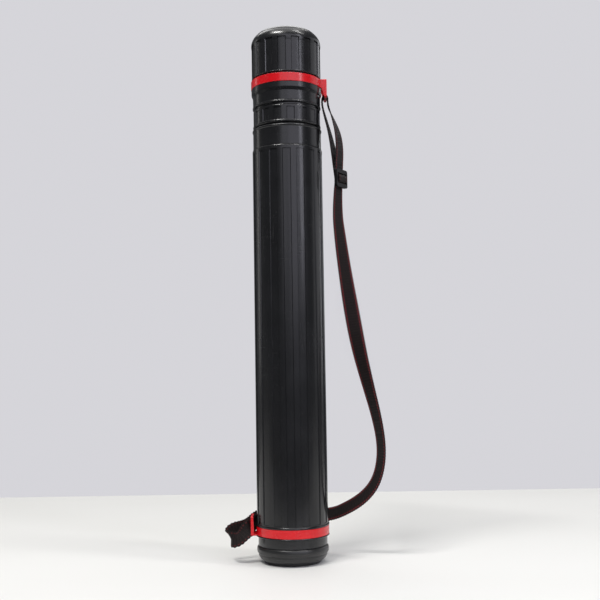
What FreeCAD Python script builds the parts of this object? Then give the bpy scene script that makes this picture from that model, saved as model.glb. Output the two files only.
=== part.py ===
import FreeCAD, Part
import math
import os

from FreeCAD import Vector

# Telescopic drawing tube with a shoulder strap. Millimetres, +Z up.
# Origin: centre of the round foot. +X points at the upper strap lug.

os.makedirs("parts", exist_ok=True)

# ---------------------------------------------------------------- driving dimensions
TOTAL_HEIGHT = 641.0        # foot to crown, closed
TUBE_R = 42.5               # crest of the ribs on the outer tube
TUBE_BORE_R = 39.6
TUBE_BOTTOM_Z = 20.4        # lower edge of the outer tube, on the base cap
TUBE_TOP_Z = 494.0          # shoulder under the lock collar
PULL_OUT = 360.0            # travel of the telescope
TWIST = 22.5                # turn that locks the telescope
RUNNING_GAP = 0.3           # radial gap between pieces that slide or turn

RIB_COUNT = 16              # ribs round the tube, the grip and the cap
RIB_ANGLE = 9.0             # width of one rib, degrees
RIB_HEIGHT = 1.0
RIB_SLOPE = 0.8             # how far the side of a rib leans, degrees
TUBE_RIB_AT = 10.5          # rib centres, degrees right of the front
GRIP_RIB_AT = -4.0
CAP_RIB_AT = 5.0
TUBE_FLUTES_Z = (46.8, 489.0)
GRIP_FLUTES_Z = (524.3, 539.6)
CAP_FLUTES_Z = (583.6, 624.5)

RING_HEIGHT = 10.2          # strap rings; the lower one sits upside down
RING_INNER_R = 41.3
RING_OUTER_R = 43.4
LOWER_RING_Z = 32.8
UPPER_RING_Z = 569.6
LUG_HEIGHT = 22.6           # belt loop on the ring
LUG_WIDTH = 25.0
LUG_FACE_X = 49.4           # outer face of the belt loop
LOWER_LUG_DEPTH = 3.6       # the webbing passes between this lug and the tube
UPPER_LUG_DEPTH = 6.0       # this lug's legs grow straight out of the ring
LUG_END_DEPTH = 2.8         # both thin to this at the free end
LUG_OVERHANG = 0.7          # past the near edge of the ring
LUG_LEG = 2.4               # width of the upright legs
LUG_BAR = 1.6               # height of the cross bars

INNER_R = 38.6              # sliding tube
INNER_BORE_R = 36.8
INNER_Z = (96.0, 566.0)
CHANNEL_FLOOR_R = 37.7      # guide channels cut in the sliding tube
CHANNEL_WIDTH = 7.0
PEG_WIDTH = 5.0
PEG_TIP_R = 38.05
PEG_Z = (511.0, 518.0)
PEG_COUNT = 4
LOCK_PITCH = 60.0           # spacing of the locking notches
NOTCH_CLEARANCE = 0.8
COLLAR_LIP_Z = 510.0
COLLAR_TOP_Z = 519.2

SPIGOT_R = 39.6             # neck that the cap pushes on to
SPIGOT_TOP_Z = 606.0
CAP_R = 42.3
CAP_BORE_R = 40.0
CAP_WALL = 2.2
CAP_BOTTOM_Z = 581.7

STRAP_WIDTH = 19.0
STRAP_THICKNESS = 1.5
SLIDER_SIZE = (25.0, 22.0, 3.6)
SLIDER_CENTRE = Vector(65.3, 0.0, 459.3)

FRONT = -90.0               # the front of the tube looks along -Y


# ---------------------------------------------------------------- helpers
def save(shape, name):
    """Write one node and print its size."""
    if not shape.isValid():
        raise RuntimeError(name + " is not a valid solid")
    shape.exportStep("parts/" + name + ".step")
    box = shape.BoundBox
    print("%-18s %d solid(s) %9.0f mm3  z %.1f to %.1f" % (
        name, len(shape.Solids), shape.Volume, box.ZMin, box.ZMax))


def on_circle(radius, degrees, z=0.0):
    """Point on a circle about the tube's axis."""
    angle = math.radians(degrees)
    return Vector(radius * math.cos(angle), radius * math.sin(angle), z)


def revolve(outline):
    """Turn an outline about Z. Its points are (r, z); a third value bulges
    the edge that ends there into an arc through that middle point."""
    edges = []
    count = len(outline)
    for index in range(count):
        start = outline[index]
        end = outline[(index + 1) % count]
        a = Vector(start[0], 0, start[1])
        b = Vector(end[0], 0, end[1])
        if len(end) == 3:
            middle = Vector(end[2][0], 0, end[2][1])
            edges.append(Part.Arc(a, middle, b).toShape())
        else:
            edges.append(Part.LineSegment(a, b).toShape())
    face = Part.Face(Part.Wire(edges))
    return face.revolve(Vector(0, 0, 0), Vector(0, 0, 1), 360)


def tube(inner, outer, low, high):
    """Plain tube between two radii."""
    return revolve([(inner, low), (outer, low), (outer, high), (inner, high)])


def sector(inner, outer, low, high, start, end, slope=0.0):
    """Block between two radii and two angles; its sides lean out by slope."""
    middle = (start + end) / 2.0
    points = [
        on_circle(inner, start, low), on_circle(inner, middle, low), on_circle(inner, end, low),
        on_circle(outer, end + slope, low), on_circle(outer, middle, low),
        on_circle(outer, start - slope, low)]
    wire = Part.Wire([
        Part.Arc(points[0], points[1], points[2]).toShape(),
        Part.LineSegment(points[2], points[3]).toShape(),
        Part.Arc(points[3], points[4], points[5]).toShape(),
        Part.LineSegment(points[5], points[0]).toShape()])
    return Part.Face(wire).extrude(Vector(0, 0, high - low))


def flutes(crest_r, z_range, rib_at):
    """Cutters for the sunk panels between the ribs."""
    cutters = []
    pitch = 360.0 / RIB_COUNT
    outside = crest_r + 1.0
    slope = RIB_SLOPE * (outside - crest_r + RIB_HEIGHT) / RIB_HEIGHT
    for index in range(RIB_COUNT):
        rib = FRONT + rib_at + index * pitch
        start = rib + RIB_ANGLE / 2.0 + RIB_SLOPE
        end = rib + pitch - RIB_ANGLE / 2.0 - RIB_SLOPE
        cutters.append(sector(crest_r - RIB_HEIGHT, outside, z_range[0], z_range[1], start, end, slope))
    return cutters


# ---------------------------------------------------------------- outer tube and base
def make_outer_tube():
    """Ribbed tube; two rounded lips hold the lower strap ring, and the top edge is rounded."""
    seat_r = RING_INNER_R - 0.1
    seat = (LOWER_RING_Z - 0.2, LOWER_RING_Z + RING_HEIGHT + 0.2)
    lip_r = RING_OUTER_R + 0.4
    rim_r = TUBE_BORE_R + 0.8
    body = revolve([
        (TUBE_BORE_R, TUBE_BOTTOM_Z), (40.7, TUBE_BOTTOM_Z), (41.0, TUBE_BOTTOM_Z + 0.4),
        (41.0, seat[0] - 2.2), (lip_r - 0.4, seat[0] - 1.4),
        (lip_r - 0.3, seat[0], (lip_r, seat[0] - 0.7)),
        (seat_r, seat[0]), (seat_r, seat[1]), (lip_r - 0.3, seat[1]),
        (TUBE_R, seat[1] + 2.6, (lip_r - 0.2, seat[1] + 1.5)),
        (TUBE_R, TUBE_TOP_Z - 1.8), (TUBE_R - 1.1, TUBE_TOP_Z, (TUBE_R - 0.28, TUBE_TOP_Z - 0.6)),
        (rim_r, TUBE_TOP_Z), (rim_r, COLLAR_LIP_Z), (TUBE_BORE_R, COLLAR_LIP_Z)])
    return body.cut(flutes(TUBE_R, TUBE_FLUTES_Z, TUBE_RIB_AT))


def make_lock_collar():
    """Lock collar: fixed on the outer tube, with four pegs in the sliding tube's channels."""
    lip_r = INNER_R + RUNNING_GAP
    rim_r = TUBE_BORE_R + 0.8
    body = revolve([
        (rim_r, TUBE_TOP_Z), (41.2, TUBE_TOP_Z), (41.5, TUBE_TOP_Z + 0.3),
        (41.5, 515.8), (42.0, 516.4), (42.0, 518.3, (42.35, 517.35)),
        (41.2, COLLAR_TOP_Z), (lip_r, COLLAR_TOP_Z), (lip_r, COLLAR_LIP_Z), (rim_r, COLLAR_LIP_Z)])
    half = math.degrees(PEG_WIDTH / 2.0 / INNER_R)
    pegs = []
    for index in range(PEG_COUNT):
        at = index * 360.0 / PEG_COUNT
        pegs.append(sector(PEG_TIP_R, lip_r + 0.5, PEG_Z[0], PEG_Z[1], at - half, at + half))
    return body.fuse(pegs).removeSplitter()


def make_base_cap():
    """Closed bottom: a stepped foot, a round bead and a plug inside the tube."""
    plug_r = TUBE_BORE_R
    floor = 3.0
    bead_r = 42.7
    return revolve([
        (0.0, 0.0), (32.6, 0.0), (34.1, 1.5, (33.66, 0.44)), (34.5, 2.6),
        (36.1, 3.4), (40.3, 8.4, (38.9, 5.6)), (40.8, 9.0), (40.8, 11.3),
        (41.3, 12.1), (42.1, 12.4), (42.0, 18.8, (bead_r, 15.6)), (41.1, 19.7), (40.4, 20.0),
        (plug_r, 20.0), (plug_r, 31.0), (plug_r - 0.6, 32.0),
        (37.4, 32.0), (37.4, 14.0), (33.0, 8.0), (32.0, floor), (0.0, floor)])


# ---------------------------------------------------------------- strap rings
def make_ring(low, side, flipped, lug_depth, cheeks):
    """Strap ring with its belt loop; side is +1 for +X, -1 for -X."""
    ring = tube(RING_INNER_R, RING_OUTER_R, 0.0, RING_HEIGHT)
    ring = ring.makeFillet(0.5, [e for e in ring.Edges if is_outer_edge(e)])
    loop_low = RING_HEIGHT + LUG_OVERHANG - LUG_HEIGHT
    loop_x = LUG_FACE_X - lug_depth
    loop = Part.makeBox(lug_depth, LUG_WIDTH, LUG_HEIGHT, Vector(loop_x, -LUG_WIDTH / 2.0, loop_low))
    loop = loop.makeFillet(1.6, [e for e in loop.Edges if is_corner_edge(e)])
    loop = loop.cut(make_taper(loop_x, lug_depth - LUG_END_DEPTH, loop_low))
    window_y = LUG_WIDTH / 2.0 - LUG_LEG
    window = Part.makeBox(
        lug_depth + 2.0, 2.0 * window_y, LUG_HEIGHT - 2.0 * LUG_BAR,
        Vector(loop_x - 1.0, -window_y, loop_low + LUG_BAR))
    # the root joins the loop's near cross bar to the ring, clear of the lip or cap beside it
    root_x = RING_INNER_R - 1.3
    root_depth = LUG_OVERHANG + 1.4
    root = Part.makeBox(
        LUG_FACE_X - 1.0 - root_x, LUG_WIDTH - 3.0, root_depth,
        Vector(root_x, 1.5 - LUG_WIDTH / 2.0, RING_HEIGHT + LUG_OVERHANG - root_depth))
    root = root.cut([
        Part.makeCylinder(RING_INNER_R + 1.0, RING_HEIGHT),
        Part.makeCylinder(RING_OUTER_R + 0.7, LUG_HEIGHT, Vector(0, 0, RING_HEIGHT))])
    pieces = [loop.cut(window), root]
    if cheeks:
        # the ring's curve falls away behind the legs, so a cheek fills each side
        cheek_x = RING_INNER_R - 0.3
        for y in (-window_y - LUG_LEG, window_y):
            corner = Vector(cheek_x, y, 0.0)
            pieces.append(Part.makeBox(loop_x + 0.5 - cheek_x, LUG_LEG, RING_HEIGHT, corner))
    shape = ring.fuse(pieces).removeSplitter()
    if flipped:
        shape.rotate(Vector(0, 0, RING_HEIGHT / 2.0), Vector(1, 0, 0), 180)
    if side < 0:
        shape.rotate(Vector(0, 0, 0), Vector(0, 0, 1), 180)
    shape.translate(Vector(0, 0, low))
    return shape


def make_taper(loop_x, depth, loop_low):
    """Wedge that thins the loop from the ring's edge to its free end, on the side of the tube."""
    margin = 1.0
    corners = [
        Vector(loop_x - margin, 0, loop_low - margin), Vector(loop_x + depth, 0, loop_low - margin),
        Vector(loop_x + depth, 0, loop_low), Vector(loop_x, 0, 0),
        Vector(loop_x - margin, 0, 0)]
    side = Part.Face(Part.makePolygon(corners + corners[:1]))
    wedge = side.extrude(Vector(0, LUG_WIDTH + 2.0 * margin, 0))
    wedge.translate(Vector(0, -LUG_WIDTH / 2.0 - margin, 0))
    return wedge


def is_outer_edge(edge):
    """Edges of the ring on its outer surface."""
    curve = edge.Curve
    return hasattr(curve, "Radius") and abs(curve.Radius - RING_OUTER_R) < 1e-6


def is_corner_edge(edge):
    """Edges of the loop's block that run radially, at its four corners."""
    first, last = edge.Vertexes[0].Point, edge.Vertexes[-1].Point
    return abs(first.x - last.x) > 1.0


# ---------------------------------------------------------------- sliding tube
def make_inner_tube():
    """Sliding tube with four guide channels and a ladder of locking notches."""
    body = tube(INNER_BORE_R, INNER_R, INNER_Z[0], INNER_Z[1])
    outside = INNER_R + 1.0
    half = math.degrees(CHANNEL_WIDTH / 2.0 / INNER_R)
    channel_low = PEG_Z[0] - PULL_OUT - 2.0
    channel_high = PEG_Z[1] + 2.0
    steps = int(round(PULL_OUT / LOCK_PITCH)) + 1
    cutters = []
    for index in range(PEG_COUNT):
        at = index * 360.0 / PEG_COUNT
        cutters.append(sector(
            CHANNEL_FLOOR_R, outside, channel_low, channel_high, at - half, at + half))
        for step in range(steps):
            low = PEG_Z[0] - step * LOCK_PITCH - NOTCH_CLEARANCE
            high = PEG_Z[1] - step * LOCK_PITCH + NOTCH_CLEARANCE
            cutters.append(sector(CHANNEL_FLOOR_R, outside, low, high, at - half - TWIST, at))
    return body.cut(cutters)


def make_guide_ring(low, high):
    """Slide ring bonded on the sliding tube."""
    outer = TUBE_BORE_R - RUNNING_GAP
    return revolve([
        (INNER_R, low), (outer - 0.3, low), (outer, low + 0.6), (outer, high - 0.6),
        (outer - 0.3, high), (INNER_R, high)])


def make_neck():
    """Head of the sliding tube: twist grip, plain band, flange, ring seat and cap spigot."""
    seat_r = RING_INNER_R - RUNNING_GAP
    flange_top = UPPER_RING_Z - RUNNING_GAP
    body = revolve([
        (INNER_R, 520.5), (40.0, 520.5), (40.6, 521.0), (40.9, 524.0, (41.5, 522.4)), (40.9, 541.0),
        (40.6, 542.2, (40.85, 541.7)), (39.5, 543.0), (39.5, 544.6),
        (41.4, 545.2), (41.4, 547.4, (41.8, 546.3)), (41.2, 548.2), (41.4, 559.4),
        (42.7, 562.4), (43.0, 563.4), (43.0, flange_top), (seat_r, flange_top),
        (seat_r, CAP_BOTTOM_Z - 0.6), (SPIGOT_R, CAP_BOTTOM_Z - 0.6), (SPIGOT_R, SPIGOT_TOP_Z - 1.2),
        (SPIGOT_R - 1.2, SPIGOT_TOP_Z), (INNER_BORE_R, SPIGOT_TOP_Z), (INNER_BORE_R, INNER_Z[1]),
        (INNER_R, INNER_Z[1])])
    return body.cut(flutes(40.9, GRIP_FLUTES_Z, GRIP_RIB_AT))


def make_cap():
    """Push-on cap: ribbed skirt, rounded shoulder with a fine step, flat crown."""
    top = TOTAL_HEIGHT
    shoulder_z = 620.5
    crown_r = 29.0
    step_r = 36.6
    step_z = 637.1
    edge = 0.9              # the rounded rim's size
    inner_top = top - CAP_WALL
    liner_r = CAP_BORE_R - 0.6
    body = revolve([
        (CAP_BORE_R, CAP_BOTTOM_Z), (CAP_R - edge, CAP_BOTTOM_Z),
        (CAP_R, CAP_BOTTOM_Z + 1.8 * edge, (CAP_R + 0.2, CAP_BOTTOM_Z + 0.8 * edge)),
        (CAP_R, shoulder_z), (step_r + 1.0, step_z - 1.1, (41.2, 631.2)),
        (step_r, step_z - 0.8), (step_r, step_z),
        (crown_r, top, (33.4, 639.7)), (0.0, top), (0.0, inner_top),
        (crown_r - 1.5, inner_top), (liner_r, 623.0, (36.6, 633.0)), (liner_r, SPIGOT_TOP_Z + 1.4),
        (CAP_BORE_R, SPIGOT_TOP_Z + 0.8)])
    return body.cut(flutes(CAP_R, CAP_FLUTES_Z, CAP_RIB_AT))


# ---------------------------------------------------------------- strap
# Each point of a route is (x, y, z) and the direction of the webbing's width there.
LOWER_LOOP = [
    ((-19.0, 42.0, 50.5), (0.0, 0.0, 1.0)),
    ((-32.5, 32.8, 50.0), (0.0, 0.0, 1.0)),
    ((-42.2, 19.5, 48.5), (0.05, 0.0, 1.0)),
    ((-45.0, 6.0, 44.2), (0.05, 0.05, 1.0)),
    ((-50.5, -5.0, 42.2), (-0.05, 0.3, 0.95)),
    ((-57.5, -10.2, 33.5), (-0.2, 0.55, 0.8)),
    ((-64.0, -11.0, 27.0), (-0.35, 0.55, 0.75)),
    ((-71.5, -8.5, 24.6), (-0.45, 0.5, 0.74)),
    ((-77.0, -2.0, 27.8), (-0.5, 0.35, 0.79)),
    ((-75.0, 5.0, 33.0), (-0.45, 0.2, 0.87)),
    ((-68.5, 9.0, 36.5), (-0.35, 0.05, 0.93)),
    ((-60.5, 11.2, 37.6), (-0.25, 0.0, 0.97)),
    ((-53.0, 15.8, 39.8), (-0.2, 0.0, 0.98)),
    ((-45.5, 25.5, 46.5), (-0.1, 0.0, 1.0)),
    ((-32.0, 37.0, 50.0), (0.0, 0.0, 1.0))]
MAIN_RUN = [
    ((-32.0, 37.0, 50.0), (0.0, 0.0, 1.0)),
    ((-16.0, 45.8, 50.0), (0.0, 0.0, 1.0)),
    ((4.0, 48.8, 49.0), (0.0, 0.1, 1.0)),
    ((26.0, 46.5, 47.0), (0.0, 0.4, 0.92)),
    ((47.5, 38.0, 47.8), (-0.1, 0.72, 0.69)),
    ((67.0, 26.0, 57.5), (-0.25, 0.74, 0.62)),
    ((86.0, 14.5, 71.0), (-0.4, 0.78, 0.48)),
    ((99.5, 6.5, 88.0), (-0.48, 0.83, 0.28)),
    ((106.5, 2.0, 110.0), (-0.5, 0.86, 0.1)),
    ((108.0, 0.5, 136.0), (-0.5, 0.86, 0.0)),
    ((103.0, 0.0, 168.0), (-0.58, 0.81, 0.0)),
    ((92.7, 0.0, 209.0), (-0.74, 0.67, 0.0)),
    ((83.0, 0.0, 250.0), (-0.92, 0.39, 0.0)),
    ((75.0, 0.0, 297.0), (-0.98, -0.1, 0.0)),
    ((68.0, 0.0, 345.0), (-0.9, -0.44, 0.0)),
    ((63.0, 0.3, 386.0), (-0.8, -0.6, 0.0)),
    ((59.8, 1.4, 421.0), (-0.65, -0.76, 0.0)),
    ((62.2, 1.9, 452.0), (-0.55, -0.84, 0.0))]
UPPER_LOOP = [
    ((60.2, 3.5, 453.0), (-0.55, -0.84, 0.0)),
    ((60.0, 3.0, 473.0), (-0.53, -0.85, 0.0)),
    ((57.7, 1.2, 493.0), (-0.42, -0.91, 0.0)),
    ((52.8, 0.0, 517.0), (-0.27, -0.96, 0.0)),
    ((46.8, 0.0, 538.0), (-0.12, -0.99, 0.0)),
    ((44.6, 0.0, 553.0), (0.0, -1.0, 0.0)),
    ((45.0, 0.0, 561.2), (0.0, -1.0, 0.0)),
    ((50.8, 0.0, 561.2), (0.0, -1.0, 0.0)),
    ((50.6, 0.0, 550.5), (0.0, -1.0, 0.0)),
    ((57.2, 0.0, 534.0), (-0.25, -0.97, 0.0)),
    ((62.8, 0.0, 516.0), (-0.45, -0.89, 0.0)),
    ((64.6, 0.4, 497.0), (-0.52, -0.85, 0.0)),
    ((63.2, 1.8, 475.0), (-0.55, -0.84, 0.0)),
    ((62.2, 1.9, 452.5), (-0.55, -0.84, 0.0))]


def centreline(route):
    """Straight runs joined by tangent arcs: a list of edges, with the arcs' radii."""
    points = [Vector(*item[0]) for item in route]
    edges = []
    radii = []
    cursor = points[0]
    for index in range(1, len(points) - 1):
        before = points[index] - points[index - 1]
        after = points[index + 1] - points[index]
        turn = before.getAngle(after)
        reach = 0.45 * min(before.Length, after.Length)
        start = points[index] - before * (reach / before.Length)
        end = points[index] + after * (reach / after.Length)
        radius = reach / math.tan(turn / 2.0)
        radii.append(radius)
        inward = (after * (1.0 / after.Length) - before * (1.0 / before.Length))
        inward.normalize()
        middle = points[index] + inward * (radius / math.cos(turn / 2.0) - radius)
        edges.append(Part.LineSegment(cursor, start).toShape())
        edges.append(Part.Arc(start, middle, end).toShape())
        cursor = end
    edges.append(Part.LineSegment(cursor, points[-1]).toShape())
    return edges, radii


def width_hint(route, position):
    """Width direction at a place, blended between the two nearest route points' values."""
    best = None
    for index in range(len(route) - 1):
        a = Vector(*route[index][0])
        run = Vector(*route[index + 1][0]) - a
        share = max(0.0, min(1.0, (position - a).dot(run) / run.dot(run)))
        distance = (a + run * share - position).Length
        if best is None or distance < best[0]:
            first, second = Vector(*route[index][1]), Vector(*route[index + 1][1])
            best = (distance, first * (1.0 - share) + second * share)
    return best[1]


def make_webbing(route, name):
    """Flat webbing swept along its route as short ruled stretches."""
    edges, radii = centreline(route)
    stations = []
    for edge in edges:
        count = 4 if hasattr(edge.Curve, "Radius") else 2
        first, last = edge.ParameterRange
        for step in range(count):
            at = first + (last - first) * step / count
            stations.append((edge.valueAt(at), edge.tangentAt(at)))
    last_edge = edges[-1]
    end = last_edge.ParameterRange[1]
    stations.append((last_edge.valueAt(end), last_edge.tangentAt(end)))
    sections = []
    for position, tangent in stations:
        hint = width_hint(route, position)
        across = hint - tangent * hint.dot(tangent)
        across.normalize()
        normal = tangent.cross(across)
        w = across * (STRAP_WIDTH / 2.0)
        t = normal * (STRAP_THICKNESS / 2.0)
        corners = [position + w + t, position - w + t, position - w - t, position + w - t]
        sections.append(corners)
    shape = faceted(sections)
    length = sum(edge.Length for edge in edges)
    print("%s: length %.0f, radii %s, volume over section x length %.3f" % (
        name, length, [round(r) for r in radii],
        shape.Volume / (length * STRAP_WIDTH * STRAP_THICKNESS)))
    return shape


def faceted(sections):
    """Closed solid of flat triangles through a row of four-cornered sections."""
    faces = []

    def triangle(a, b, c):
        faces.append(Part.Face(Part.makePolygon([a, b, c, a])))

    for near, far in zip(sections[:-1], sections[1:]):
        for side in range(4):
            other = (side + 1) % 4
            if side < 2:
                triangle(near[side], near[other], far[other])
                triangle(near[side], far[other], far[side])
            else:
                triangle(near[side], near[other], far[side])
                triangle(near[other], far[other], far[side])
    for cap in (sections[0], sections[-1]):
        triangle(cap[0], cap[1], cap[2])
        triangle(cap[0], cap[2], cap[3])
    shell = Part.makeShell(faces)
    solid = Part.makeSolid(shell)
    if solid.Volume < 0:
        solid.reverse()
    return solid


def make_slider():
    """Three-bar slider: a frame with two slots either side of its middle bar."""
    wide, high, thick = SLIDER_SIZE
    block = Part.makeBox(wide, thick, high, Vector(-wide / 2.0, -thick / 2.0, -high / 2.0))
    block = block.makeFillet(3.0, [e for e in block.Edges if runs_through(e)])
    slot_wide = STRAP_WIDTH + 1.4
    slot_high = 3.8
    bar = 4.8
    for side in (-1, 1):
        middle = side * (bar + slot_high) / 2.0
        slot = Part.makeBox(slot_wide, thick + 2.0, slot_high,
                            Vector(-slot_wide / 2.0, -thick / 2.0 - 1.0, middle - slot_high / 2.0))
        block = block.cut(slot)
    turn = math.degrees(math.atan2(0.84, 0.55))
    block.rotate(Vector(0, 0, 0), Vector(0, 0, 1), turn)
    block.translate(SLIDER_CENTRE)
    return block


def runs_through(edge):
    """Edges of the slider's block that run through its thickness."""
    first, last = edge.Vertexes[0].Point, edge.Vertexes[-1].Point
    return abs(first.y - last.y) > 1.0


# ---------------------------------------------------------------- assembly
save(make_outer_tube(), "outer_tube")
save(make_lock_collar(), "lock_collar")
save(make_base_cap(), "base_cap")
save(make_ring(LOWER_RING_Z, -1, True, LOWER_LUG_DEPTH, False), "strap_ring_lower")
save(make_ring(UPPER_RING_Z, 1, False, UPPER_LUG_DEPTH, True), "strap_ring_upper")
save(make_inner_tube(), "inner_tube")
save(make_guide_ring(136.0, 146.0), "stop_ring")
save(make_guide_ring(98.0, 108.0), "guide_ring")
save(make_neck(), "neck_grip")
save(make_cap(), "top_cap")
save(make_webbing(LOWER_LOOP, "strap_end_loop"), "strap_end_loop")
save(make_webbing(MAIN_RUN, "strap_run"), "strap_run")
save(make_webbing(UPPER_LOOP, "strap_top_loop"), "strap_top_loop")
save(make_slider(), "strap_slider")
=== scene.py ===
import math

import bmesh
import bpy
import numpy as np
from mathutils import Matrix, Vector


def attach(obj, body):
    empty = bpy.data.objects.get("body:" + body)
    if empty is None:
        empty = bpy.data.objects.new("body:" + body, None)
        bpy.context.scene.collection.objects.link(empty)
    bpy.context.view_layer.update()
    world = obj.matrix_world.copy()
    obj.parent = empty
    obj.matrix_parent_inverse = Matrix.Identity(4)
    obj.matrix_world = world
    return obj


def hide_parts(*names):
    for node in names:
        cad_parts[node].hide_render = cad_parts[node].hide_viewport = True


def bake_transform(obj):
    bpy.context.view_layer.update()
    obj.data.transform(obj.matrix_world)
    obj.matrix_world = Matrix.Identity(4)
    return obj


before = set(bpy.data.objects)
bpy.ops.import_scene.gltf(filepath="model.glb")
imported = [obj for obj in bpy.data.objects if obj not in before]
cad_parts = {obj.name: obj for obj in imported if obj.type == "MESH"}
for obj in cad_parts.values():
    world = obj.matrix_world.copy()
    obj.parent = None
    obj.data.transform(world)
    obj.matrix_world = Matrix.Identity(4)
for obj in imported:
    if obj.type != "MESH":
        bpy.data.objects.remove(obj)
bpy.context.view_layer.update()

MM = 0.001

# ---------------------------------------------------------------- strap routes
# Millimetres: place, and direction of the webbing's width there.
LOWER_ROUTE = [
    ((-19.0, 42.0, 50.5), (0.0, 0.0, 1.0)),
    ((-32.5, 32.8, 50.0), (0.0, 0.0, 1.0)),
    ((-42.2, 19.5, 48.5), (0.05, 0.0, 1.0)),
    ((-45.0, 6.0, 44.2), (0.05, 0.05, 1.0)),
    ((-50.5, -5.0, 42.2), (-0.05, 0.3, 0.95)),
    ((-57.0, -10.2, 34.5), (-0.15, 0.6, 0.78)),
    ((-63.0, -11.0, 28.8), (-0.25, 0.6, 0.74)),
    ((-69.5, -8.5, 26.8), (-0.35, 0.52, 0.76)),
    ((-75.0, -2.0, 29.4), (-0.45, 0.35, 0.8)),
    ((-74.0, 5.0, 33.8), (-0.42, 0.2, 0.88)),
    ((-68.5, 9.0, 36.5), (-0.35, 0.05, 0.93)),
    ((-60.5, 11.2, 37.6), (-0.25, 0.0, 0.97)),
    ((-53.0, 15.8, 39.8), (-0.2, 0.0, 0.98)),
    ((-45.5, 25.5, 46.5), (-0.1, 0.0, 1.0)),
    ((-32.0, 37.0, 50.0), (0.0, 0.0, 1.0)),
    ((-16.0, 45.8, 50.0), (0.0, 0.0, 1.0)),
    ((4.0, 48.8, 49.0), (0.0, 0.1, 1.0)),
    ((26.0, 46.5, 47.0), (0.0, 0.4, 0.92)),
    ((47.5, 38.0, 47.8), (-0.1, 0.72, 0.69)),
    ((67.0, 26.0, 57.5), (-0.25, 0.74, 0.62)),
    ((86.0, 14.5, 71.0), (-0.4, 0.78, 0.48)),
    ((99.5, 6.5, 88.0), (-0.48, 0.83, 0.28)),
    ((106.5, 2.0, 110.0), (-0.5, 0.86, 0.1)),
    ((108.0, 0.5, 136.0), (-0.5, 0.86, 0.0)),
    ((103.0, 0.0, 168.0), (-0.58, 0.81, 0.0)),
    ((92.7, 0.0, 209.0), (-0.74, 0.67, 0.0)),
    ((83.0, 0.0, 250.0), (-0.92, 0.39, 0.0)),
    ((75.0, 0.0, 297.0), (-0.98, -0.1, 0.0)),
    ((68.0, 0.0, 345.0), (-0.9, -0.44, 0.0)),
    ((63.0, 0.3, 386.0), (-0.8, -0.6, 0.0)),
    ((59.8, 1.4, 421.0), (-0.65, -0.76, 0.0)),
    ((62.2, 1.9, 452.0), (-0.55, -0.84, 0.0))]
TOP_ROUTE = [
    ((62.4, 4.8, 460.0), (-0.55, -0.84, 0.0)),
    ((60.6, 6.0, 474.0), (-0.53, -0.85, 0.0)),
    ((57.5, 4.8, 493.0), (-0.42, -0.91, 0.0)),
    ((52.8, 2.4, 517.0), (-0.27, -0.96, 0.0)),
    ((46.8, 0.0, 538.0), (-0.2, -0.98, 0.0)),
    ((43.5, 0.0, 552.5), (-0.12, -0.99, 0.0)),
    ((44.4, 0.0, 561.2), (0.0, -1.0, 0.0)),
    ((50.8, 0.0, 561.2), (0.0, -1.0, 0.0)),
    ((50.6, 0.0, 550.5), (0.0, -1.0, 0.0)),
    ((57.2, 0.0, 534.0), (-0.25, -0.97, 0.0)),
    ((62.8, 0.0, 516.0), (-0.45, -0.89, 0.0)),
    ((64.6, 0.4, 497.0), (-0.52, -0.85, 0.0)),
    ((63.2, 1.8, 475.0), (-0.55, -0.84, 0.0)),
    ((62.2, 1.9, 452.5), (-0.55, -0.84, 0.0))]

WEB_WIDTH = 19.0 * MM
WEB_THICKNESS = 1.5 * MM
RIB_PITCH = 3.3 * MM
STATION = 0.55 * MM
TRACER_AT = 7.2 * MM        # red thread rows, from the webbing's centre line
TRACER_HALF = 0.85 * MM     # half the width of one such row
TWILL_PITCH = 0.95 * MM
ROW_HEIGHT = 0.14 * MM      # how far the weft's rows stand up
FACE_INSET = 0.16 * MM      # keeps the rows inside the webbing's thickness
BOUND_SHARE = 0.68          # the bound edges start at this share of the half width
BOUND_EXTRA = 0.06 * MM     # their extra thickness
RIM_SHARE = 0.9             # outside this share the edge waves in and out
RIM_WAVE = 0.45 * MM
RIM_INSET = 0.3 * MM
SEAM_HALF = 6.6 * MM        # half the width of a sewn box
STITCH = 1.6 * MM
STITCH_PROUD = 0.12 * MM
STITCH_SUNK = 0.2 * MM

SLIDER_CENTRE = Vector((65.3, 0.0, 459.3))
SLIDER_FRONT = Vector((0.837, -0.548, 0.0))
SLIDER_ACROSS = (-0.548, -0.837, 0.0)
WRAP = [(-2.5, -10.0), (-2.6, -6.6), (-1.2, -4.6), (1.7, -4.1), (2.7, -2.2), (2.8, 0.0),
        (2.7, 2.2), (1.7, 4.1), (-1.2, 4.6), (-2.6, 6.6), (-2.5, 10.0)]    # out of the slider's middle, up


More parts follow.
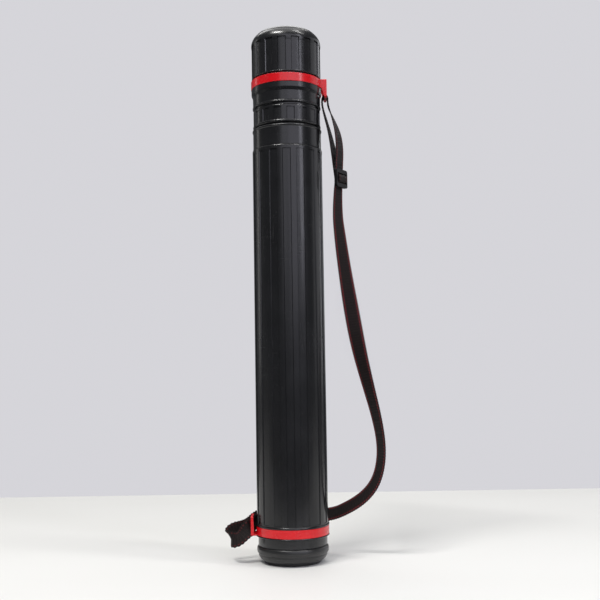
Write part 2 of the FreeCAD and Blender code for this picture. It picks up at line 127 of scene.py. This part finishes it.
# ---------------------------------------------------------------- node helpers
class Nodes:
    """Short way to build one material's nodes."""

    def __init__(self, name):
        self.material = bpy.data.materials.new(name)
        self.material.use_nodes = True
        self.tree = self.material.node_tree
        self.shader = self.tree.nodes["Principled BSDF"]
        self.coordinates = self.tree.nodes.new("ShaderNodeTexCoord").outputs["Object"]

    def link(self, a, b):
        self.tree.links.new(a, b)

    def add(self, kind, inputs=(), **settings):
        node = self.tree.nodes.new("ShaderNode" + kind)
        for key, value in settings.items():
            setattr(node, key, value)
        for key, value in dict(inputs).items():
            if isinstance(value, bpy.types.NodeSocket):
                self.link(value, node.inputs[key])
            else:
                node.inputs[key].default_value = value
        return node

    def math(self, operation, a, b=0.0, c=0.0):
        node = self.add("Math", {0: a, 1: b, 2: c}, operation=operation)
        return node.outputs[0]

    def stretch(self, scale):
        """Object coordinates, scaled differently along each axis."""
        node = self.add("Mapping", {"Vector": self.coordinates, "Scale": scale})
        return node.outputs[0]

    def noise(self, scale, detail=3.0, roughness=0.55, vector=None):
        node = self.add("TexNoise", {
            "Vector": vector or self.coordinates, "Scale": scale, "Detail": detail,
            "Roughness": roughness})
        return node.outputs["Fac"]

    def ramp(self, value, low, high):
        """0 below low, 1 above high."""
        node = self.add("MapRange", {"Value": value, "From Min": low, "From Max": high})
        return node.outputs[0]

    def mix(self, amount, first, second):
        node = self.add("Mix", data_type="RGBA")
        for index, value in ((0, amount), (6, first), (7, second)):
            if isinstance(value, bpy.types.NodeSocket):
                self.link(value, node.inputs[index])
            else:
                node.inputs[index].default_value = value
        return node.outputs[2]

    def bump(self, height, strength, distance, normal=None):
        inputs = {"Height": height, "Strength": strength, "Distance": distance}
        if normal is not None:
            inputs["Normal"] = normal
        return self.add("Bump", inputs).outputs[0]


def colour(red, green, blue):
    return (red, green, blue, 1.0)


# ---------------------------------------------------------------- materials
def moulded_plastic(name, base, worn, roughness, scuff_amount):
    """Satin moulded plastic: fine grain, soft mottling, long scuffs and dust."""
    n = Nodes(name)
    grain = n.noise(1800.0, 2.0)
    mottle = n.noise(22.0, 4.0)
    scuffs = n.noise(1.0, 3.0, 0.6, n.stretch((420.0, 420.0, 26.0)))
    cross_scuffs = n.noise(1.0, 2.0, 0.5, n.stretch((60.0, 60.0, 700.0)))
    patches = n.ramp(n.noise(9.0, 2.0), 0.5, 0.68)
    scuffed = n.math("MULTIPLY", n.ramp(scuffs, 0.62, 0.78), patches)
    ringed = n.math("MULTIPLY", n.ramp(cross_scuffs, 0.66, 0.8), patches)
    marks = n.math("MAXIMUM", scuffed, n.math("MULTIPLY", ringed, 0.6))
    dust = n.ramp(n.noise(620.0, 1.0), 0.735, 0.77)
    tone = n.mix(n.ramp(mottle, 0.3, 0.75), base, worn)
    tone = n.mix(n.math("MULTIPLY", marks, scuff_amount), tone, colour(0.1, 0.1, 0.103))
    tone = n.mix(n.math("MULTIPLY", dust, 0.16), tone, colour(0.2, 0.19, 0.18))
    n.link(tone, n.shader.inputs["Base Color"])
    rough = n.math("MULTIPLY_ADD", mottle, 0.12, roughness - 0.06)
    rough = n.math("MULTIPLY_ADD", marks, 0.22, rough)
    n.link(rough, n.shader.inputs["Roughness"])
    wave = n.noise(30.0, 2.0)
    normal = n.bump(wave, 0.3, 0.0004)
    normal = n.bump(grain, 0.12, 0.00003, normal)
    normal = n.bump(marks, 0.12, 0.00006, normal)
    n.link(normal, n.shader.inputs["Normal"])
    n.shader.inputs["Specular IOR Level"].default_value = 0.45
    return n.material


def red_plastic():
    """Glossy red plastic with flow marks, small nicks and a grubby film."""
    n = Nodes("red_plastic")
    flow = n.noise(1.0, 3.0, 0.5, n.stretch((60.0, 60.0, 260.0)))
    grime = n.ramp(n.noise(70.0, 5.0, 0.65), 0.56, 0.76)
    nicks = n.ramp(n.noise(520.0, 2.0), 0.7, 0.76)
    tone = n.mix(flow, colour(0.52, 0.0015, 0.006), colour(0.68, 0.006, 0.012))
    tone = n.mix(n.math("MULTIPLY", grime, 0.3), tone, colour(0.26, 0.01, 0.012))
    tone = n.mix(n.math("MULTIPLY", nicks, 0.35), tone, colour(0.85, 0.3, 0.28))
    n.link(tone, n.shader.inputs["Base Color"])
    n.link(n.math("MULTIPLY_ADD", grime, 0.25, 0.24), n.shader.inputs["Roughness"])
    normal = n.bump(flow, 0.3, 0.0003)
    normal = n.bump(nicks, 0.2, 0.0001, normal)
    n.link(normal, n.shader.inputs["Normal"])
    n.shader.inputs["Specular IOR Level"].default_value = 0.4
    n.shader.inputs["Coat Weight"].default_value = 0.15
    n.shader.inputs["Coat Roughness"].default_value = 0.08
    n.shader.inputs["Subsurface Weight"].default_value = 0.04
    n.shader.inputs["Subsurface Radius"].default_value = (0.004, 0.001, 0.001)
    return n.material


def webbing_material():
    """Black ribbed webbing; the red tracer threads show as a row of short stitches."""
    n = Nodes("webbing")
    place = n.add("Attribute", attribute_name="web").outputs["Vector"]
    parts = n.add("SeparateXYZ", {"Vector": place}).outputs
    along, across = parts[0], parts[1]
    turn = 2.0 * math.pi
    wave = n.math("SINE", n.math("MULTIPLY", along, turn / RIB_PITCH))
    slant = n.math("MULTIPLY", wave, 1.2)
    twill = n.math("SINE", n.math("MULTIPLY_ADD", across, turn / TWILL_PITCH, slant))
    row = n.math("SUBTRACT", n.math("ABSOLUTE", across), TRACER_AT)
    in_row = n.math("LESS_THAN", n.math("ABSOLUTE", row), TRACER_HALF)
    dash = n.ramp(wave, -0.3, 0.4)
    grubby = n.math("MULTIPLY_ADD", n.ramp(along, 0.13, 0.2), 0.75, 0.25)
    tracer = n.math("MULTIPLY", n.math("MULTIPLY", in_row, dash), grubby)
    drawn_out = n.add("Mapping", {"Vector": place, "Scale": (900.0, 5200.0, 5200.0)}).outputs[0]
    fibres = n.noise(1.0, 3.0, 0.6, drawn_out)
    fade = n.noise(30.0, 3.0)
    tone = n.mix(fade, colour(0.006, 0.0036, 0.0036), colour(0.012, 0.0072, 0.007))
    # painted shade: the webbing is darkened in the valleys between the weft's ribs, where shade would fall
    valley_shade = n.math("MULTIPLY", n.ramp(wave, 0.1, -0.8), 0.7)
    tone = n.mix(valley_shade, tone, colour(0.003, 0.0025, 0.0025))
    tone = n.mix(n.math("MULTIPLY", n.ramp(fibres, 0.5, 0.8), 0.4), tone, colour(0.026, 0.016, 0.0155))
    red = n.mix(fibres, colour(0.13, 0.010, 0.014), colour(0.30, 0.045, 0.05))
    n.link(n.mix(tracer, tone, red), n.shader.inputs["Base Color"])
    n.link(n.math("MULTIPLY_ADD", fibres, 0.2, 0.58), n.shader.inputs["Roughness"])
    normal = n.bump(twill, 0.5, 0.00016)
    normal = n.bump(fibres, 0.5, 0.0001, normal)
    n.link(normal, n.shader.inputs["Normal"])
    n.shader.inputs["Sheen Weight"].default_value = 0.05
    n.shader.inputs["Sheen Roughness"].default_value = 0.4
    n.shader.inputs["Specular IOR Level"].default_value = 0.18
    return n.material


def thread_material():
    """Black sewing thread with a twist."""
    n = Nodes("thread")
    twist = n.add("TexWave", {"Vector": n.coordinates, "Scale": 900.0, "Distortion": 2.0}).outputs["Fac"]
    tone = n.mix(twist, colour(0.012, 0.01, 0.01), colour(0.06, 0.05, 0.05))
    n.link(tone, n.shader.inputs["Base Color"])
    n.link(n.math("MULTIPLY_ADD", twist, 0.2, 0.5), n.shader.inputs["Roughness"])
    n.link(n.bump(twist, 0.4, 0.0001), n.shader.inputs["Normal"])
    return n.material


def floor_material():
    n = Nodes("floor")
    cloudy = n.noise(3.0, 3.0)
    tone = n.mix(cloudy, colour(0.73, 0.73, 0.705), colour(0.77, 0.77, 0.75))
    n.link(tone, n.shader.inputs["Base Color"])
    n.link(n.math("MULTIPLY_ADD", cloudy, 0.1, 0.3), n.shader.inputs["Roughness"])
    return n.material


# ---------------------------------------------------------------- CAD pieces
def finish_nodes(material, names, bevel=0.75 * MM):
    """Give CAD nodes their material and softly rounded edges."""
    for name in names:
        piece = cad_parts[name]
        piece.data.materials.clear()
        piece.data.materials.append(material)
        edge = piece.modifiers.new("soft_edges", "BEVEL")
        edge.width = bevel
        edge.segments = 3
        edge.limit_method = "ANGLE"
        edge.angle_limit = math.radians(38)
        edge.harden_normals = True


# ---------------------------------------------------------------- webbing
def spline_points(name, values):
    """Points of the smooth curve that has these control points."""
    data = bpy.data.curves.new(name, "CURVE")
    data.dimensions = "3D"
    data.resolution_u = 40
    spline = data.splines.new("NURBS")
    spline.points.add(len(values) - 1)
    for point, value in zip(spline.points, values):
        point.co = (value[0], value[1], value[2], 1.0)
    spline.order_u = 3
    spline.use_endpoint_u = True
    curve = bpy.data.objects.new(name, data)
    bpy.context.scene.collection.objects.link(curve)
    bpy.context.view_layer.update()
    mesh = bpy.data.meshes.new_from_object(curve)
    points = np.array([v.co for v in mesh.vertices], float)
    bpy.data.objects.remove(curve)
    bpy.data.curves.remove(data)
    bpy.data.meshes.remove(mesh)
    return points


def evenly(points, hints, step):
    """The same line and width directions at even steps along it."""
    runs = np.linalg.norm(np.diff(points, axis=0), axis=1)
    along = np.concatenate([[0.0], np.cumsum(runs)])
    count = int(along[-1] / step) + 1
    even = np.linspace(0.0, along[-1], count)
    pick = lambda array: np.stack([np.interp(even, along, array[:, k]) for k in range(3)], axis=1)
    return even, pick(points), pick(hints)


class Ribbon:
    """Stations along a route: distance, place, width direction and face normal."""

    def __init__(self, name, route):
        centre = spline_points(name + "_line", [np.array(item[0]) * MM for item in route])
        hints = spline_points(name + "_width", [item[1] for item in route])
        self.along, self.centre, hint = evenly(centre, hints, STATION)
        tangent = np.gradient(self.centre, axis=0)
        tangent /= np.linalg.norm(tangent, axis=1)[:, None]
        across = hint - tangent * np.sum(hint * tangent, axis=1)[:, None]
        self.across = across / np.linalg.norm(across, axis=1)[:, None]
        self.normal = np.cross(tangent, self.across)

    @property
    def length(self):
        return float(self.along[-1])


def web_profile():
    """Outline of the webbing's section: (across, thickness share), once round."""
    half = WEB_WIDTH / 2.0
    edge = WEB_THICKNESS / 2.0
    flat = np.linspace(-(half - edge), half - edge, 15)
    turn = np.linspace(90.0, -90.0, 5)[1:-1]
    outline = [(x, 1.0) for x in flat]
    rim = [(half - edge + edge * math.cos(math.radians(a)), math.sin(math.radians(a))) for a in turn]
    outline += rim
    outline += [(x, -1.0) for x in flat[::-1]]
    outline += [(-across, -share) for across, share in rim]
    return outline


def webbing(name, ribbon, material):
    """Ribbed webbing: the weft stands up in rows, and the bound edges are a little fuller."""
    outline = web_profile()
    half = WEB_WIDTH / 2.0
    stations = len(ribbon.along)
    phase = 2.0 * math.pi * ribbon.along / RIB_PITCH
    rows = []
    places = []
    for across, side in outline:
        share = abs(across) / half
        bound = 1.0 if share > BOUND_SHARE else 0.0
        ripple = ROW_HEIGHT * np.sin(phase + math.pi * bound)
        lift = side * (WEB_THICKNESS / 2.0 - FACE_INSET + BOUND_EXTRA * bound + ripple)
        rim = math.copysign(1.0, across) if share > RIM_SHARE else 0.0
        sideways = across + rim * (RIM_WAVE * np.sin(phase) - RIM_INSET)
        rows.append(
            ribbon.centre + ribbon.across * sideways[:, None] + ribbon.normal * lift[:, None])
        places.append(np.stack([ribbon.along, np.full(stations, across), np.full(stations, side)], axis=1))
    count = len(outline)
    vertices = np.stack(rows, axis=1).reshape(-1, 3)
    web = np.stack(places, axis=1).reshape(-1, 3)
    faces = []
    for station in range(stations - 1):
        base = station * count
        for index in range(count):
            other = (index + 1) % count
            faces.append((base + index, base + other, base + count + other, base + count + index))
    faces.append(tuple(range(count))[::-1])
    faces.append(tuple(range((stations - 1) * count, stations * count)))
    mesh = bpy.data.meshes.new(name)
    mesh.from_pydata(vertices.tolist(), [], faces)
    attribute = mesh.attributes.new("web", "FLOAT_VECTOR", "POINT")
    attribute.data.foreach_set("vector", web.astype(np.float32).ravel())
    mesh.materials.append(material)
    outward(mesh)
    for polygon in mesh.polygons:
        polygon.use_smooth = True
    piece = bpy.data.objects.new(name, mesh)
    bpy.context.scene.collection.objects.link(piece)
    return piece


def outward(mesh):
    """Make the faces' normals agree and point out."""
    work = bmesh.new()
    work.from_mesh(mesh)
    bmesh.ops.recalc_face_normals(work, faces=work.faces)
    work.to_mesh(mesh)
    work.free()


def thread(name, points, material, radius=0.28 * MM):
    """Round thread through a list of points."""
    data = bpy.data.curves.new(name, "CURVE")
    data.dimensions = "3D"
    data.bevel_depth = radius
    data.bevel_resolution = 2
    data.use_fill_caps = True
    spline = data.splines.new("POLY")
    spline.points.add(len(points) - 1)
    for point, place in zip(spline.points, points):
        point.co = (*place, 1.0)
    data.materials.append(material)
    piece = bpy.data.objects.new(name, data)
    bpy.context.scene.collection.objects.link(piece)
    return piece


def stitched_box(name, ribbon, start, end, side, material):
    """Sewn box with a cross in it, lying on one face of the webbing."""
    half = SEAM_HALF
    corners = [(start, -half), (end, -half), (end, half), (start, half), (start, -half),
               (end, half), (end, -half), (start, half)]
    points = []
    for (s0, w0), (s1, w1) in zip(corners[:-1], corners[1:]):
        steps = max(2, int(math.hypot(s1 - s0, w1 - w0) / STITCH))
        for step in range(2 * steps):
            share = step / (2.0 * steps)
            at = s0 + (s1 - s0) * share
            index = int(round(at / ribbon.length * (len(ribbon.along) - 1)))
            place = ribbon.centre[index] + ribbon.across[index] * (w0 + (w1 - w0) * share)
            height = WEB_THICKNESS / 2.0 + (STITCH_PROUD if step % 2 else -STITCH_SUNK)
            points.append(place + ribbon.normal[index] * side * height)
    return thread(name, points, material)


# ---------------------------------------------------------------- stage
def make_stage():
    """Pale floor that ends a little behind the object, under an even pale backdrop."""
    bpy.ops.mesh.primitive_plane_add(size=1.0, location=(0.0, 0.14, -0.0002))
    floor = bpy.context.object
    floor.name = "floor"
    floor.scale = (3.2, 0.92, 1.0)
    floor.data.materials.append(floor_material())
    world = bpy.data.worlds.new("studio")
    bpy.context.scene.world = world
    world.use_nodes = True
    nodes, links = world.node_tree.nodes, world.node_tree.links
    surround = nodes["Background"]
    surround.inputs["Color"].default_value = (0.8, 0.82, 0.86, 1.0)
    surround.inputs["Strength"].default_value = 0.16
    backdrop = nodes.new("ShaderNodeBackground")
    backdrop.inputs["Color"].default_value = (0.67, 0.665, 0.70, 1.0)
    seen = nodes.new("ShaderNodeLightPath")
    either = nodes.new("ShaderNodeMixShader")
    links.new(seen.outputs["Is Camera Ray"], either.inputs[0])
    links.new(surround.outputs[0], either.inputs[1])
    links.new(backdrop.outputs[0], either.inputs[2])
    links.new(either.outputs[0], nodes["World Output"].inputs["Surface"])


def area_light(name, place, target, size, power, tint):
    data = bpy.data.lights.new(name, "AREA")
    data.shape = "RECTANGLE"
    data.size, data.size_y = size
    data.energy = power
    data.color = tint
    light = bpy.data.objects.new(name, data)
    light.location = place
    light.rotation_euler = (Vector(target) - Vector(place)).to_track_quat("-Z", "Y").to_euler()
    bpy.context.scene.collection.objects.link(light)


def make_lights():
    middle = (0.0, 0.0, 0.32)
    area_light("window", (1.9, -1.78, 1.45), middle, (0.36, 1.7), 13.5, (0.88, 0.88, 1.0))
    area_light("pale_wall", (0.85, -2.4, 1.35), middle, (1.7, 1.9), 17.0, (0.88, 0.87, 1.0))
    area_light("pale_wall_left", (-0.45, -2.4, 1.45), middle, (0.9, 1.9), 7.0, (0.9, 0.9, 1.0))
    area_light("right_wall", (2.33, 0.94, 1.0), middle, (2.0, 1.9), 8.0, (0.95, 0.95, 1.0))
    area_light("key", (-0.75, -1.0, 2.45), middle, (0.9, 0.16), 46.0, (1.0, 0.985, 0.96))
    area_light("overhead_right", (1.1, -0.5, 2.6), middle, (0.2, 1.2), 16.0, (1.0, 0.99, 0.98))
    area_light("overhead_back", (-0.3, 1.4, 2.5), middle, (2.0, 1.0), 20.0, (1.0, 0.99, 0.98))
    area_light("overhead", (0.0, -0.2, 3.1), middle, (2.6, 2.6), 34.0, (1.0, 0.99, 0.98))
    area_light("left_back", (-2.3, 1.1, 1.0), middle, (0.3, 1.6), 3.0, (1.0, 0.99, 0.97))
    area_light("right_back", (1.5, 2.0, 1.0), middle, (0.4, 1.6), 4.0, (0.95, 0.96, 1.0))


def make_camera():
    """Viewpoint a little right of the tube's axis, low, tilted up and rolled slightly."""
    place = Vector((12.8, -1119.6, 229.2)) * MM
    pitch = math.radians(4.18)
    roll = math.radians(-0.896)
    forward = Vector((0.0, math.cos(pitch), math.sin(pitch)))
    right = Vector((1.0, 0.0, 0.0))
    up = Vector((0.0, -math.sin(pitch), math.cos(pitch)))
    tilted_right = right * math.cos(roll) + up * math.sin(roll)
    tilted_up = up * math.cos(roll) - right * math.sin(roll)
    data = bpy.data.cameras.new("camera")
    data.lens = 55.5
    data.sensor_width = 36.0
    camera = bpy.data.objects.new("camera", data)
    axes = Matrix((tilted_right, tilted_up, -forward)).transposed()
    camera.matrix_world = Matrix.Translation(place) @ axes.to_4x4()
    bpy.context.scene.collection.objects.link(camera)
    bpy.context.scene.camera = camera


# ---------------------------------------------------------------- strap pieces
def make_strap():
    web = webbing_material()
    sewing = thread_material()

    lower = Ribbon("strap_lower", LOWER_ROUTE)
    strap = webbing("strap_webbing", lower, web)
    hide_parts("strap_end_loop", "strap_run")
    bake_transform(strap)

    top = Ribbon("strap_top", TOP_ROUTE)
    loop = webbing("strap_top_webbing", top, web)
    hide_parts("strap_top_loop")
    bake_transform(loop)

    wrap_route = [(tuple(SLIDER_CENTRE + SLIDER_FRONT * out + Vector((0.0, 0.0, up))), SLIDER_ACROSS)
                  for out, up in WRAP]
    wrap = webbing("slider_wrap", Ribbon("slider_wrap", wrap_route), web)
    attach(wrap, "slider")

    for name, ribbon, span, side, body in (
            ("strap_seam_lower", lower, (4.0, 17.0), -1, "outer"),
            ("strap_seam_slider", top, (19.0, 31.0), 1, "slider")):
        seam = stitched_box(name, ribbon, span[0] * MM, span[1] * MM, side, sewing)
        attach(seam, body)


# ---------------------------------------------------------------- assembly
bpy.context.scene.view_settings.view_transform = "Standard"
black = moulded_plastic(
    "black_plastic", colour(0.006, 0.0062, 0.007), colour(0.0105, 0.0107, 0.012),
    roughness=0.25, scuff_amount=0.3)
base_black = moulded_plastic(
    "base_plastic", colour(0.009, 0.0093, 0.0095), colour(0.018, 0.018, 0.0185),
    roughness=0.33, scuff_amount=0.7)
guide = moulded_plastic(
    "guide_plastic", colour(0.06, 0.06, 0.06), colour(0.09, 0.09, 0.09),
    roughness=0.55, scuff_amount=0.3)
slider_black = moulded_plastic(
    "slider_plastic", colour(0.006, 0.006, 0.0065), colour(0.011, 0.011, 0.012),
    roughness=0.36, scuff_amount=0.4)
finish_nodes(black, ["outer_tube", "lock_collar", "inner_tube", "neck_grip", "top_cap"])
finish_nodes(base_black, ["base_cap"])
finish_nodes(guide, ["stop_ring", "guide_ring"])
finish_nodes(slider_black, ["strap_slider"], 0.9 * MM)
finish_nodes(red_plastic(), ["strap_ring_lower", "strap_ring_upper"], 0.5 * MM)
slider_black.node_tree.nodes["Principled BSDF"].inputs["Specular IOR Level"].default_value = 0.12
make_strap()
make_stage()
make_lights()
make_camera()
